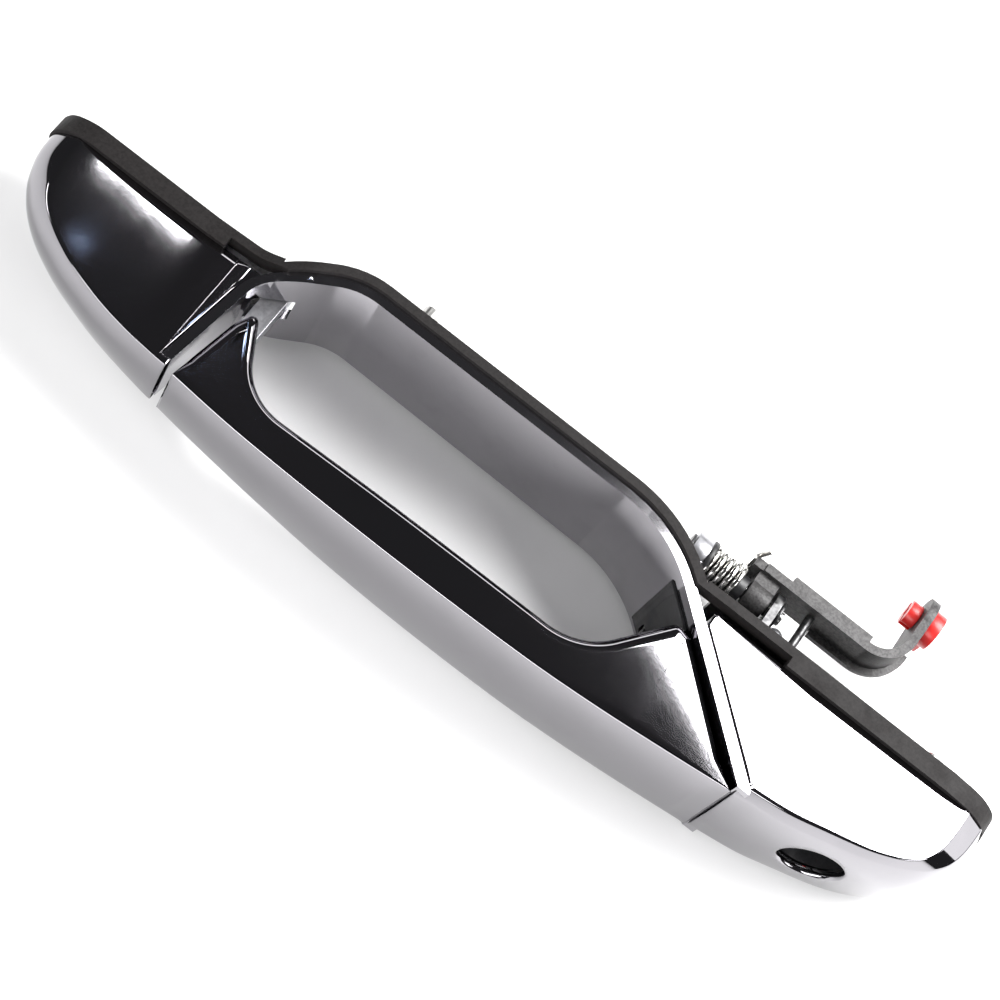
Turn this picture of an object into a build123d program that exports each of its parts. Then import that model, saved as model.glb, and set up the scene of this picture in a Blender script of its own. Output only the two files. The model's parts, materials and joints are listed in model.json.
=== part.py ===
"""Exterior door handle: a pull strap in a chrome bezel, with a spring-loaded bell crank behind it.

X runs along the handle towards the key end, Z is up and -Y points out of the door.
The plane y = 0 is the door skin, against which the gasket's flange seats.
"""
import os

from build123d import *

# ---- driving dimensions, mm ----
left_tip = -148.5            # nose of the left cap, at mid height
right_tip = 148.5            # nose of the right cap, at mid height
left_seam = -87.3            # where the left cap meets the strap
right_seam = 87.5            # where the right cap meets the strap
bridge_front = -46.1         # front of the strap at its middle
seam_front = -41.4           # front face at both seams
seam_step = 1.6              # the right seam lies this much further back
left_height = 9.4            # half heights of the outline, from the left nose to the right cap
seam_height = 11.8
cup_height = 18.2
cap_height = 20.0
strap_left_height = 11.0     # half heights of the strap
strap_mid_height = 15.8
strap_right_height = 17.0
skin = 2.4                   # wall of the chrome castings
cup_wall = 3.0               # thickness of the cup's back wall
cup_back = 5.0               # depth of the cup's inner face behind the door skin
cap_back = -5.5              # back edge of both caps, on the gasket's skirt
right_cap_start = 58.0
left_seam_gap = 2.6          # the strap's left end swings into this gap
right_seam_gap = 0.9
grip_line = -33.6            # finger side of the strap
gasket_band = 2.6            # gasket flange and band
gasket_grow = 1.3            # how far the gasket stands out from the outline
gasket_web = 3.2             # how far it runs in under the castings
skirt_left_end = -95.7       # the gasket's skirts stop short of the seams
skirt_right_start = 80.0
plate_front = 0.3            # brackets' plates lie behind the gasket's flange
plate = 2.2
boss_size = 8.0
left_boss_front = -37.0      # bosses run from the caps' front walls to the brackets
cap_screw_size = 3.0
screw_head = 5.5
liner_screws_x = (-50.0, 18.0)
hook_screw_x = 57.0          # screw that holds the hook leg in the right wing
hook_screw_z = -5.0
stud_size = 5.0              # M5 mounting studs
stud_neck = 6.0              # serrated neck, pressed into the bracket or the cup's boss
mid_stud_end = 22.5          # how far the studs stand behind the door skin
right_stud_end = 14.5
nut_size = 9.0               # clinch nut in the left bracket
nut_long = 4.5
nut_thread = 4.2             # tapped bore of the M5 nut
mid_boss = 4.0               # boss for the middle stud, on the back of the cup
left_nut_x = -128.0
mid_stud_x = -45.0
right_stud_x = 130.0
right_stud_z = -8.0
left_screw_x = -108.0
right_screws = [(96.0, -9.5, -38.0), (138.0, 0.0, -23.5)]   # x, z and the boss's front
lock_x = 116.2               # key hole
lock_z = 1.0
lock_bore = 17.6
lock_wall = 2.0
hinge_x = -78.0              # strap hinge, an upright pin inside the left wing
hinge_y = -21.0
hinge_pin_size = 4.0
hinge_pin_long = 18.0
hinge_fit = 0.05
hinge_eye = 8.4              # outside of the eye
hinge_slot = 5.5             # half height of the pocket in the wing
pivot_y = 13.5               # bell crank pivot, along X
pivot_z = 2.0
pivot_pin_size = 4.0
pivot_fit = 0.05
spring_wire = 1.7
spring_mean = 10.2
spring_turns = 5
spring_pitch = 2.05
spring_start = 51.6
hub_start = 63.0             # bell crank hub
hub_end = 69.5
hub_size = 8.4
arm_plate = 2.5
arm_front = 19.8             # front face of the bell crank's arm
arm_top = 4.5                # arm's edges above and below the pivot
arm_low = 7.5
arm_start = 60.5
eye_plate_x = 104.7          # near face of the plate that carries the rod clip
eye_y = 39.1
eye_z = 1.0
eye_radius = 7.0
rod_hole = 5.0
clip_head = 10.4
clip_thick = 3.3
finger_back = 2.2            # lever finger's round nose, from the pivot
finger_low = 14.5
finger_nose = 2.2
finger_wide = 3.3
rib = 1.8                    # ribs along the arm's top and bottom edges
rib_start = 83.5             # the lower rib stays clear of the pillar and the stop screw
hook_x = 50.0                # hook leg, which passes under the spring
hook_plate = 3.0
hook_top = -10.6
hook_low = -13.9
hook_face = 19.4             # catch's face, behind the finger
hook_sweep = 2.8             # the leg's sideways movement where it passes the wall
ear = 2.5                    # right ear of the lever bracket
right_ear_x = 70.2
zinc_ear = 4.4               # left ear, a zinc piece of its own on the cup wall
left_ear_x = 44.8
ear_round = 11.0
ear_screw_x = 39.5
bracket_start = 56.5
pillar_x = 76.5
pillar_z = -3.5
pillar_size = 5.6
pillar_end = 13.5
stop_x = 81.0
stop_size = 2.5
clear = 0.6                  # between pieces that move past each other
snug = 0.05                  # radial clearance of fixed pieces
reach = 70.0                 # longer than the part is deep, for outlines cut right through


def half_outline(points):
    """A closed outline, mirrored about its own horizontal axis."""
    Polyline(*points)
    Polyline(*[(x, -z) for x, z in points])


def bezel_front(grow=0.0):
    """Outline of the whole bezel seen from the front, grown by an offset."""
    with BuildSketch(Plane.XZ.offset(-reach)) as outline:
        with BuildLine():
            half_outline([
                (left_tip, 0), (left_tip + 2.6, left_height - 3), (left_tip + 9, left_height),
                (left_seam - 14, left_height + 0.8), (left_seam + 1, seam_height),
                (left_seam + 11, cup_height), (30, cup_height + 1.2), (62, cap_height),
                (right_tip - 18, cap_height), (right_tip - 9, cap_height - 1),
                (right_tip - 3.6, cap_height - 5), (right_tip, 0),
            ])
        make_face()
        for x, z, radius in (
            (left_tip, 0, 7), (left_tip + 2.6, left_height - 3, 7), (left_tip + 9, left_height, 12),
            (left_seam + 1, seam_height, 12), (left_seam + 11, cup_height, 14),
            (right_tip - 9, cap_height - 1, 11), (right_tip - 3.6, cap_height - 5, 8), (right_tip, 0, 20),
        ):
            for side in {z, -z}:
                fillet(outline.vertices().sort_by(lambda v: abs(v.X - x) + abs(v.Y - side))[0], radius)
        if grow:
            offset(amount=grow)
    return outline.sketch


def strap_front(grow=0.0):
    """Outline of the strap seen from the front."""
    with BuildSketch(Plane.XZ.offset(-reach)) as outline:
        with BuildLine():
            for side in (1, -1):
                ThreePointArc(
                    (left_seam, side * strap_left_height),
                    (0, side * strap_mid_height),
                    (right_seam, side * strap_right_height),
                )
            Line((left_seam, strap_left_height), (left_seam, -strap_left_height))
            Line((right_seam, strap_right_height), (right_seam, -strap_right_height))
        make_face()
        if grow:
            offset(amount=grow)
    return outline.sketch


def cup_plan(grow=0.0):
    """The cup's inside seen from above; grown, it is the outside of the cup wall."""
    with BuildSketch(Plane.XY.offset(-reach)) as plan:
        with BuildLine():
            Polyline(
                (left_seam, seam_front - 30), (left_seam, seam_front),
                (left_seam + 4.3, cup_back - 14), (left_seam + 25.3, cup_back),
                (36.7, cup_back), (right_seam, seam_front + seam_step),
                (right_seam, seam_front - 30), close=True,
            )
        make_face()
        back = plan.vertices().filter_by(lambda v: v.Y > cup_back - 20)
        fillet(back.sort_by(Axis.X)[0], 8)
        fillet(plan.vertices().filter_by(lambda v: abs(v.Y - cup_back) < 0.01).sort_by(Axis.X)[0], 20)
        fillet(plan.vertices().filter_by(lambda v: abs(v.Y - cup_back) < 0.01).sort_by(Axis.X)[-1], 38)
        if grow:
            offset(amount=grow)
    return plan.sketch


def strap_plan(grow=0.0):
    """The strap seen from above: a bow with a deep wing at each end."""
    left = left_seam + left_seam_gap
    slope = (cup_back - seam_front - seam_step) / (right_seam - 36.7)
    shift = right_seam_gap * (1 + slope ** 2) ** 0.5
    right = right_seam - 0.7
    wing_x = 57.5
    wing_y = seam_front + seam_step + slope * (right_seam - wing_x) - shift
    right_y = seam_front + seam_step + slope * (right_seam - right) - shift
    with BuildSketch(Plane.XY.offset(-reach)) as plan:
        with BuildLine():
            ThreePointArc((left, seam_front), (0, bridge_front), (right, seam_front + 0.4))
            Polyline(
                (right, seam_front + 0.4), (right, right_y), (wing_x, wing_y),
                (wing_x - 4.4, wing_y + 2.4), (35.8, grip_line), (-66.6, grip_line),
                (left + 6.7, grip_line + 21.1), (left + 3.2, grip_line + 14.6),
                (left + 1.0, seam_front + 8), (left, seam_front),
            )
        make_face()
        inner = plan.vertices().filter_by(lambda v: abs(v.Y - grip_line) < 0.01).sort_by(Axis.X)
        fillet(inner[0], 17)
        inner = plan.vertices().filter_by(lambda v: abs(v.Y - grip_line) < 0.01).sort_by(Axis.X)
        fillet(inner[-1], 20)
        if grow:
            offset(amount=grow)
    return plan.sketch


def left_cap_plan(grow=0.0):
    """The left cap seen from above."""
    with BuildSketch(Plane.XY.offset(-reach)) as plan:
        with BuildLine():
            Polyline(
                (left_seam, seam_front), (left_seam + 4.3, cup_back - 14),
                (left_seam + 6, cap_back), (left_tip, cap_back), (left_tip + 1.1, -13),
            )
            ThreePointArc((left_tip + 1.1, -13), (left_tip + 6.5, -23), (left_tip + 17, -30.5))
            ThreePointArc((left_tip + 17, -30.5), (left_tip + 38, -38.2), (left_seam, seam_front))
        make_face()
        if grow:
            offset(amount=grow)
    return plan.sketch


def right_cap_plan(grow=0.0):
    """The right cap seen from above."""
    with BuildSketch(Plane.XY.offset(-reach)) as plan:
        with BuildLine():
            Polyline(
                (right_seam, seam_front + seam_step), (right_cap_start, -13.7),
                (right_cap_start, cap_back), (right_tip, cap_back), (right_tip - 1.2, -12),
            )
            ThreePointArc((right_tip - 1.2, -12), (right_tip - 5.5, -21.5), (right_tip - 16, -28.8))
            ThreePointArc((right_tip - 16, -28.8), (right_tip - 36.5, -36), (right_seam, seam_front + seam_step))
        make_face()
        if grow:
            offset(amount=grow)
    return plan.sketch


def through(outline, along):
    """A block with the given outline that runs right through the part."""
    with BuildPart() as block:
        extrude(outline, amount=2 * reach, dir=along)
    return block.part


def finish(builder, label):
    """Name a piece and write its STEP file."""
    builder.part.label = label
    export_step(builder.part, f"parts/{label}.step")


os.makedirs("parts", exist_ok=True)

inward = (0, -1, 0)
upward = (0, 0, 1)
rightward = (1, 0, 0)


def rod(start, end, size):
    """A round bar along Y, given as (x, y, z) of both ends; only y differs."""
    with BuildPart() as bar:
        with Locations(Location(((start[0] + end[0]) / 2, (start[1] + end[1]) / 2, start[2]), (90, 0, 0))):
            Cylinder(size / 2, abs(end[1] - start[1]))
    return bar.part


def shaft(start_x, end_x, y, z, size):
    """A round bar along X."""
    with BuildPart() as bar:
        with Locations(Location(((start_x + end_x) / 2, y, z), (0, 90, 0))):
            Cylinder(size / 2, end_x - start_x)
    return bar.part


def block(x, y, z):
    """A block between two planes along each axis, given as three pairs."""
    with BuildPart() as body:
        with Locations(((x[0] + x[1]) / 2, (y[0] + y[1]) / 2, (z[0] + z[1]) / 2)):
            Box(x[1] - x[0], y[1] - y[0], z[1] - z[0])
    return body.part


envelope = through(bezel_front(), inward)
hollow = through(bezel_front(-skin), inward)
cup_inside = through(cup_plan(), upward)
cup_outside = through(cup_plan(cup_wall), upward)
plate_back = plate_front + plate
mid_boss_end = cup_back + cup_wall + mid_boss
rim_front = seam_front + skin - 0.2      # the caps' front walls close over the ends of the cup's rim
hook_left = hook_x - hook_plate / 2
hook_right = hook_x + hook_plate / 2
slot_left = hook_left - clear
slot_right = hook_right + hook_sweep + clear

# ---- bezel: cup wall and two end caps ----
with BuildPart() as cup_wall_piece:
    add(cup_outside)
    add(cup_inside, mode=Mode.SUBTRACT)
    add(envelope, mode=Mode.INTERSECT)
    add(block((-reach * 2, reach * 2), (-2 * reach, rim_front), (-reach, reach)), mode=Mode.SUBTRACT)
    add(rod((mid_stud_x, cup_back + 1, 0), (mid_stud_x, mid_boss_end, 0), 2 * stud_size))
    add(rod((mid_stud_x, cup_back + cup_wall, 0), (mid_stud_x, mid_stud_end, 0), stud_neck + 2 * snug),
        mode=Mode.SUBTRACT)
    add(block((slot_left - 0.9, slot_right + 0.9), (-reach, reach), (hook_low - 1.4, hook_top + 1.4)),
        mode=Mode.SUBTRACT)
    add(block((hinge_x - 4.6, hinge_x + 4.6), (-15, 6), (-hinge_slot, hinge_slot)), mode=Mode.SUBTRACT)
    add(rod((ear_screw_x, cup_back - 2, pivot_z), (ear_screw_x, 30, pivot_z), cap_screw_size + 2 * snug),
        mode=Mode.SUBTRACT)
finish(cup_wall_piece, "cup_wall")

with BuildPart() as cap_cut:
    add(through(cup_plan(cup_wall + snug), upward))
    add(block((-2 * reach, 2 * reach), (-2 * reach, rim_front - snug), (-reach, reach)), mode=Mode.SUBTRACT)

with BuildPart() as left_core:
    add(through(left_cap_plan(-skin), upward))
    add(hollow, mode=Mode.INTERSECT)

with BuildPart() as left_end_cap:
    add(through(left_cap_plan(), upward))
    add(envelope, mode=Mode.INTERSECT)
    add(left_core.part, mode=Mode.SUBTRACT)
    add(left_core.part.moved(Location((0, skin + 1, 0))), mode=Mode.SUBTRACT)
    add(rod((left_screw_x, left_boss_front, 0), (left_screw_x, plate_front, 0), boss_size))
    add(rod((left_screw_x, -12, 0), (left_screw_x, reach, 0), cap_screw_size + 2 * snug), mode=Mode.SUBTRACT)
    add(cap_cut.part, mode=Mode.SUBTRACT)
finish(left_end_cap, "left_end_cap")

with BuildPart() as right_core:
    add(through(right_cap_plan(-skin), upward))
    add(hollow, mode=Mode.INTERSECT)

with BuildPart() as right_end_cap:
    add(through(right_cap_plan(), upward))
    add(envelope, mode=Mode.INTERSECT)
    add(right_core.part, mode=Mode.SUBTRACT)
    add(right_core.part.moved(Location((0, skin + 1, 0))), mode=Mode.SUBTRACT)
    for x, z, front in right_screws:
        add(rod((x, front, z), (x, plate_front, z), boss_size))
        add(rod((x, -12, z), (x, reach, z), cap_screw_size + 2 * snug), mode=Mode.SUBTRACT)
    add(rod((lock_x, -reach, lock_z), (lock_x, -20, lock_z), lock_bore), mode=Mode.SUBTRACT)
    add(cap_cut.part, mode=Mode.SUBTRACT)
finish(right_end_cap, "right_end_cap")

with BuildPart() as lock_collar:
    add(rod((lock_x, -40, lock_z), (lock_x, -8, lock_z), lock_bore + 2 * lock_wall))
    add(rod((lock_x, -41, lock_z), (lock_x, -7, lock_z), lock_bore), mode=Mode.SUBTRACT)
    add(through(right_cap_plan(-skin - snug), upward), mode=Mode.INTERSECT)
finish(lock_collar, "lock_collar")

with BuildPart() as lock_clip:
    add(block((lock_x - 14, lock_x + 14), (-8, -6.8), (lock_z - 13, lock_z + 13)))
    add(block((lock_x - 9.2, lock_x + 9.2), (-9, -5), (lock_z - 9.2, lock_z + 20)), mode=Mode.SUBTRACT)
finish(lock_clip, "lock_clip")

# ---- gasket ----
left_flange = ((left_tip - gasket_grow, left_seam + 6), (-gasket_band, 0), (-reach, reach))
right_flange = ((right_cap_start - 6, right_tip + gasket_grow), (-gasket_band, 0), (-reach, reach))
left_skirt = ((left_tip - gasket_grow, skirt_left_end), (cap_back, -gasket_band), (-reach, reach))
right_skirt = ((skirt_right_start, right_tip + gasket_grow), (cap_back, -gasket_band), (-reach, reach))

with BuildPart() as gasket:
    add(through(cup_plan(cup_wall + gasket_band), upward))
    add(block((-2 * reach, 2 * reach), (-2 * reach, -gasket_band), (-2 * reach, 2 * reach)), mode=Mode.SUBTRACT)
    add(cup_outside, mode=Mode.SUBTRACT)
    for x, y, z in (left_flange, right_flange, left_skirt, right_skirt):
        add(block(x, y, z))
    add(cup_outside, mode=Mode.SUBTRACT)
    add(through(bezel_front(gasket_grow), inward), mode=Mode.INTERSECT)
    add(through(bezel_front(-gasket_web), inward), mode=Mode.SUBTRACT)
finish(gasket, "gasket")

# ---- strap ----
with BuildPart() as strap_core:
    add(through(strap_plan(-skin), upward))
    add(through(strap_front(-skin), inward), mode=Mode.INTERSECT)

liner_box = ((-62, 30), (grip_line - skin - 1, grip_line + 1), (-9.5, 9.5))

with BuildPart() as strap_shell:
    add(through(strap_plan(), upward))
    add(through(strap_front(), inward), mode=Mode.INTERSECT)
    add(strap_core.part, mode=Mode.SUBTRACT)
    for side in (1, -1):
        with Locations((hinge_x, hinge_y, side * (hinge_slot + 2.1))):
            Cylinder(hinge_eye / 2 + 0.4, 4.2)
    add(block((left_seam, hinge_x + 6.5), (hinge_y - 6, 0), (-hinge_slot, hinge_slot)), mode=Mode.SUBTRACT)
    with Locations((hinge_x, hinge_y, 0)):
        Cylinder(hinge_pin_size / 2, hinge_pin_long, mode=Mode.SUBTRACT)
    for x in liner_screws_x:
        add(rod((x, bridge_front + 1.6, 0), (x, grip_line - skin, 0), 7.0))
        add(rod((x, bridge_front + 3.5, 0), (x, 0, 0), cap_screw_size + 2 * snug), mode=Mode.SUBTRACT)
    add(rod((hook_screw_x, seam_front - 1, hook_screw_z), (hook_screw_x, -33, hook_screw_z), 7.0))
    add(rod((hook_screw_x, seam_front + 1.5, hook_screw_z), (hook_screw_x, 0, hook_screw_z), cap_screw_size + 2 * snug),
        mode=Mode.SUBTRACT)
    add(block(*liner_box), mode=Mode.SUBTRACT)
    add(block((hook_left - 0.2, hook_right + 0.2), (-26, 0), (hook_low - 0.2, hook_top + 0.2)),
        mode=Mode.SUBTRACT)
finish(strap_shell, "strap_shell")

with BuildPart() as strap_liner:
    add(block((liner_box[0][0] + 0.1, liner_box[0][1] - 0.1), (grip_line - skin + 0.05, grip_line),
              (-9.4, 9.4)))
    for x in liner_screws_x:
        add(rod((x, -60, 0), (x, 0, 0), cap_screw_size + 2 * snug), mode=Mode.SUBTRACT)
        add(rod((x, grip_line - 1.2, 0), (x, 0, 0), 5.7), mode=Mode.SUBTRACT)
finish(strap_liner, "strap_liner")

with BuildPart() as liner_screws:
    for x in liner_screws_x:
        add(rod((x, bridge_front + 4.0, 0), (x, grip_line - 0.2, 0), cap_screw_size))
        add(rod((x, grip_line - 1.1, 0), (x, grip_line - 0.2, 0), screw_head))
finish(liner_screws, "liner_screws")

with BuildPart() as hook_leg:
    add(block((hook_left, hook_right), (-33, hook_face + hook_plate), (hook_low, hook_top)))
    add(block((hook_left, 61), (-33, -30.5), (hook_low, -1)))
    add(block((hook_left, hook_x + 16), (hook_face, hook_face + hook_plate), (hook_low, hook_top)))
    add(rod((hook_screw_x, -60, hook_screw_z), (hook_screw_x, 0, hook_screw_z), cap_screw_size + 2 * snug),
        mode=Mode.SUBTRACT)
finish(hook_leg, "hook_leg")

with BuildPart() as hook_screw:
    add(rod((hook_screw_x, seam_front + 2, hook_screw_z), (hook_screw_x, -28.6, hook_screw_z), cap_screw_size))
    add(rod((hook_screw_x, -30.5, hook_screw_z), (hook_screw_x, -28.6, hook_screw_z), screw_head))
finish(hook_screw, "hook_screw")

with BuildPart() as hinge_pin:
    with Locations((hinge_x, hinge_y, 0)):
        Cylinder(hinge_pin_size / 2, hinge_pin_long)
finish(hinge_pin, "hinge_pin")

# ---- left bracket and its fasteners ----
with BuildPart() as hinge_bracket:
    add(block((left_nut_x - 9, hinge_x + 3), (plate_front, plate_back), (-5.8, 5.8)))
    add(block((hinge_x - 3, hinge_x + 3), (hinge_y, plate_front + 1), (-hinge_slot + 1, hinge_slot - 1)))
    with Locations((hinge_x, hinge_y, 0)):
        Cylinder(hinge_eye / 2, 2 * hinge_slot - 1)
        Cylinder(hinge_pin_size / 2 + hinge_fit, reach, mode=Mode.SUBTRACT)
    for x, size in ((left_nut_x, stud_neck), (left_screw_x, cap_screw_size)):
        add(rod((x, -9, 0), (x, 30, 0), size + 2 * snug), mode=Mode.SUBTRACT)
finish(hinge_bracket, "hinge_bracket")

# ---- right bracket, pivot, spring and bell crank ----
with BuildPart() as lever_bracket:
    add(block((bracket_start, right_stud_x + 14), (plate_front, plate_back), (-4, 13)))
    add(block((right_ear_x, right_stud_x + 14), (plate_front, plate_back), (-14, 1)))
    add(block((right_ear_x, right_ear_x + ear),
              (plate_front, pivot_y), (pivot_z - ear_round / 2, pivot_z + ear_round / 2)))
    add(shaft(right_ear_x, right_ear_x + ear, pivot_y, pivot_z, ear_round))
    add(rod((pillar_x, -9, pillar_z), (pillar_x, 30, pillar_z), pillar_size - 2), mode=Mode.SUBTRACT)
    add(rod((stop_x, -9, pivot_z), (stop_x, 30, pivot_z), stop_size + 2 * snug), mode=Mode.SUBTRACT)
    add(shaft(0, 100, pivot_y, pivot_z, pivot_pin_size), mode=Mode.SUBTRACT)
    add(rod((lock_x, -9, lock_z), (lock_x, 30, lock_z), lock_bore), mode=Mode.SUBTRACT)
    for x, z, _ in right_screws:
        add(rod((x, -9, z), (x, 30, z), cap_screw_size + 2 * snug), mode=Mode.SUBTRACT)
    add(rod((right_stud_x, -9, right_stud_z), (right_stud_x, 30, right_stud_z), stud_neck + 2 * snug),
        mode=Mode.SUBTRACT)
finish(lever_bracket, "lever_bracket")

with BuildPart() as pivot_pin:
    add(shaft(left_ear_x - 2.2, right_ear_x + ear + 2.2, pivot_y, pivot_z, pivot_pin_size))
    for x in (left_ear_x - 1.1, right_ear_x + ear + 0.3):
        with BuildPart(mode=Mode.PRIVATE) as groove:
            add(shaft(x, x + 0.8, pivot_y, pivot_z, 10))
            add(shaft(x, x + 0.8, pivot_y, pivot_z, 3), mode=Mode.SUBTRACT)
        add(groove.part, mode=Mode.SUBTRACT)
finish(pivot_pin, "pivot_pin")

with BuildPart() as pivot_clips:
    for x in (left_ear_x - 1.05, right_ear_x + ear + 0.35):
        add(shaft(x, x + 0.7, pivot_y, pivot_z, 8.4))
    add(shaft(0, 120, pivot_y, pivot_z, 3.1), mode=Mode.SUBTRACT)
    add(block((0, 120), (pivot_y - 1.2, pivot_y + 1.2), (pivot_z - 9, pivot_z)), mode=Mode.SUBTRACT)
finish(pivot_clips, "pivot_clips")

with BuildPart() as pivot_ear:
    add(block((ear_screw_x - 4.5, left_ear_x + zinc_ear), (-2, cup_back + cup_wall + 0.8), (-2.5, 6.5)))
    add(block((left_ear_x, left_ear_x + zinc_ear), (0, pivot_y), (pivot_z - ear_round / 2, 6.5)))
    add(shaft(left_ear_x, left_ear_x + zinc_ear, pivot_y, pivot_z, ear_round))
    add(cup_outside, mode=Mode.SUBTRACT)
    add(shaft(0, 100, pivot_y, pivot_z, pivot_pin_size), mode=Mode.SUBTRACT)
    add(rod((ear_screw_x, -9, pivot_z), (ear_screw_x, 30, pivot_z), cap_screw_size + 2 * snug),
        mode=Mode.SUBTRACT)
finish(pivot_ear, "pivot_ear")

with BuildPart() as ear_screw:
    face = cup_back + cup_wall + 0.8
    add(rod((ear_screw_x, cup_back - 1.5, pivot_z), (ear_screw_x, face + 1.8, pivot_z), cap_screw_size))
    add(rod((ear_screw_x, face, pivot_z), (ear_screw_x, face + 1.8, pivot_z), screw_head))
finish(ear_screw, "ear_screw")

spool_start = left_ear_x + zinc_ear + 0.1
with BuildPart() as spring_spool:
    add(shaft(spool_start, spool_start + 1.3, pivot_y, pivot_z, spring_mean + spring_wire))
    add(shaft(spool_start, hub_start - 0.5, pivot_y, pivot_z, spring_mean - spring_wire - 2 * clear))
    add(shaft(0, 100, pivot_y, pivot_z, pivot_pin_size + 2 * snug), mode=Mode.SUBTRACT)
finish(spring_spool, "spring_spool")

coil_long = spring_pitch * spring_turns
spring_top = pivot_z + spring_mean / 2
spring_end = spring_start + coil_long
hook_wire_y = arm_front + arm_plate + spring_wire / 2 + 0.3
with BuildPart() as lever_spring:
    with BuildLine() as wire_line:
        coil = Helix(spring_pitch, coil_long, spring_mean / 2, center=(spring_start, pivot_y, pivot_z),
                     direction=rightward, lefthand=True)
        Line(coil @ 0 - (coil % 0) * (pivot_y + 2.2), coil @ 0)
        Line(coil @ 1, coil @ 1 + (coil % 1) * (hook_wire_y - pivot_y))
    with BuildSketch(Plane(wire_line.line @ 0, z_dir=wire_line.line % 0)):
        RegularPolygon(spring_wire / 2, 12)
    sweep(path=wire_line.line)
finish(lever_spring, "lever_spring")

arm_back = arm_front + arm_plate
arm_end_x = eye_plate_x + arm_plate
arm_z = (pivot_z - arm_low, pivot_z + arm_top)


def arm_path(width):
    """The bell crank's arm seen from above: along X, then bent towards +Y."""
    with BuildSketch(Plane.XY.offset(arm_z[0])) as path:
        with BuildLine():
            Polyline((arm_start, arm_back - width), (eye_plate_x + width, arm_back - width),
                     (eye_plate_x + width, eye_y - 8), (eye_plate_x, eye_y - 8),
                     (eye_plate_x, arm_back), (arm_start, arm_back), close=True)
        make_face()
        bend = path.vertices().sort_by(lambda v: abs(v.X - eye_plate_x) + abs(v.Y - arm_back))[:2]
        inner, outer = sorted(bend, key=lambda v: v.X)
        fillet(inner, 8)
        outer = path.vertices().sort_by(lambda v: abs(v.X - eye_plate_x - width) + abs(v.Y - arm_back + width))[0]
        fillet(outer, 8 + width)
    return path.sketch


with BuildPart() as bell_crank:
    extrude(arm_path(arm_plate), amount=arm_z[1] - arm_z[0], dir=upward)
    with BuildPart(mode=Mode.PRIVATE) as low_rib:
        extrude(arm_path(arm_plate + rib), amount=rib, dir=upward)
        add(block((0, rib_start), (0, 60), (-40, 40)), mode=Mode.SUBTRACT)
    add(low_rib.part)
    add(block((hub_end + 2, eye_plate_x - 8), (arm_back - 0.5, arm_back + rib), (arm_z[1] - rib, arm_z[1])))
    with BuildSketch(Plane.YZ.offset(eye_plate_x)):
        with BuildLine():
            Polyline((eye_y - 9, arm_z[0]), (eye_y - 9, arm_z[1]), (eye_y, eye_z + eye_radius),
                     (eye_y, eye_z - eye_radius), close=True)
        make_face()
        with Locations((eye_y, eye_z)):
            Circle(eye_radius)
    extrude(amount=arm_plate)
    add(shaft(hub_start, hub_end, pivot_y, pivot_z, hub_size))
    add(block((hub_start, hub_end), (pivot_y, arm_front + 0.5), (pivot_z - 3, pivot_z + 3)))
    with BuildSketch(Plane.YZ.offset(hub_start)):
        with Locations((pivot_y, pivot_z)):
            Circle(2.6)
        with Locations((pivot_y + finger_back, pivot_z - finger_low)):
            Circle(finger_nose)
        make_hull()
    extrude(amount=finger_wide)
    add(shaft(0, 120, pivot_y, pivot_z, hub_size - 2.4), mode=Mode.SUBTRACT)
    add(shaft(0, 120, eye_y, eye_z, rod_hole), mode=Mode.SUBTRACT)
    add(block((0, hub_start + 0.7), (arm_front - 1, 60), (spring_top - 1.3, spring_top + 1.3)),
        mode=Mode.SUBTRACT)
finish(bell_crank, "bell_crank")

with BuildPart() as lever_bush:
    add(shaft(hub_start - 0.1, hub_end + 0.1, pivot_y, pivot_z, hub_size - 2.4))
    add(shaft(0, 120, pivot_y, pivot_z, pivot_pin_size + 2 * pivot_fit), mode=Mode.SUBTRACT)
finish(lever_bush, "lever_bush")

with BuildPart() as rod_clip:
    add(shaft(eye_plate_x - clip_thick - 0.3, eye_plate_x - 0.3, eye_y, eye_z, 7.4))
    add(block((eye_plate_x - 4.5, eye_plate_x + 0.5), (0, 60), (eye_z - 0.6, eye_z + 0.6)), mode=Mode.SUBTRACT)
    add(shaft(eye_plate_x - 0.4, arm_end_x + 0.5, eye_y, eye_z, rod_hole - 2 * pivot_fit))
    add(shaft(arm_end_x + 0.3, arm_end_x + 0.3 + clip_thick, eye_y, eye_z, clip_head))
    add(block((arm_end_x + 0.3, arm_end_x + 0.3 + clip_thick), (eye_y - 2.2, eye_y + 2.2),
              (eye_z - 11, eye_z)))
    add(shaft(0, 120, eye_y, eye_z, 2.6), mode=Mode.SUBTRACT)
finish(rod_clip, "rod_clip")

# ---- hook guide, studs and screws ----
guide_wall = 0.8
guide_x = (slot_left - guide_wall, slot_right + guide_wall)
guide_z = (hook_low - 0.5 - guide_wall, hook_top + 0.5 + guide_wall)

with BuildPart() as guide_zone:
    add(through(cup_plan(cup_wall + 2.5), upward))
    add(through(cup_plan(-guide_wall), upward), mode=Mode.SUBTRACT)

with BuildPart() as guide_face:
    add(cup_inside)
    add(through(cup_plan(-guide_wall), upward), mode=Mode.SUBTRACT)
    add(block((44.8, slot_right + 0.2), (-30, 10), (guide_z[0] - 1.2, 14)), mode=Mode.INTERSECT)

with BuildPart() as hook_guide:
    add(block(guide_x, (-30, 10), guide_z))
    add(guide_zone.part, mode=Mode.INTERSECT)
    add(guide_face.part)
    add(block((slot_left, slot_right), (-40, 20), (hook_low - 0.5, hook_top + 0.5)), mode=Mode.SUBTRACT)
finish(hook_guide, "hook_guide")

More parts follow.
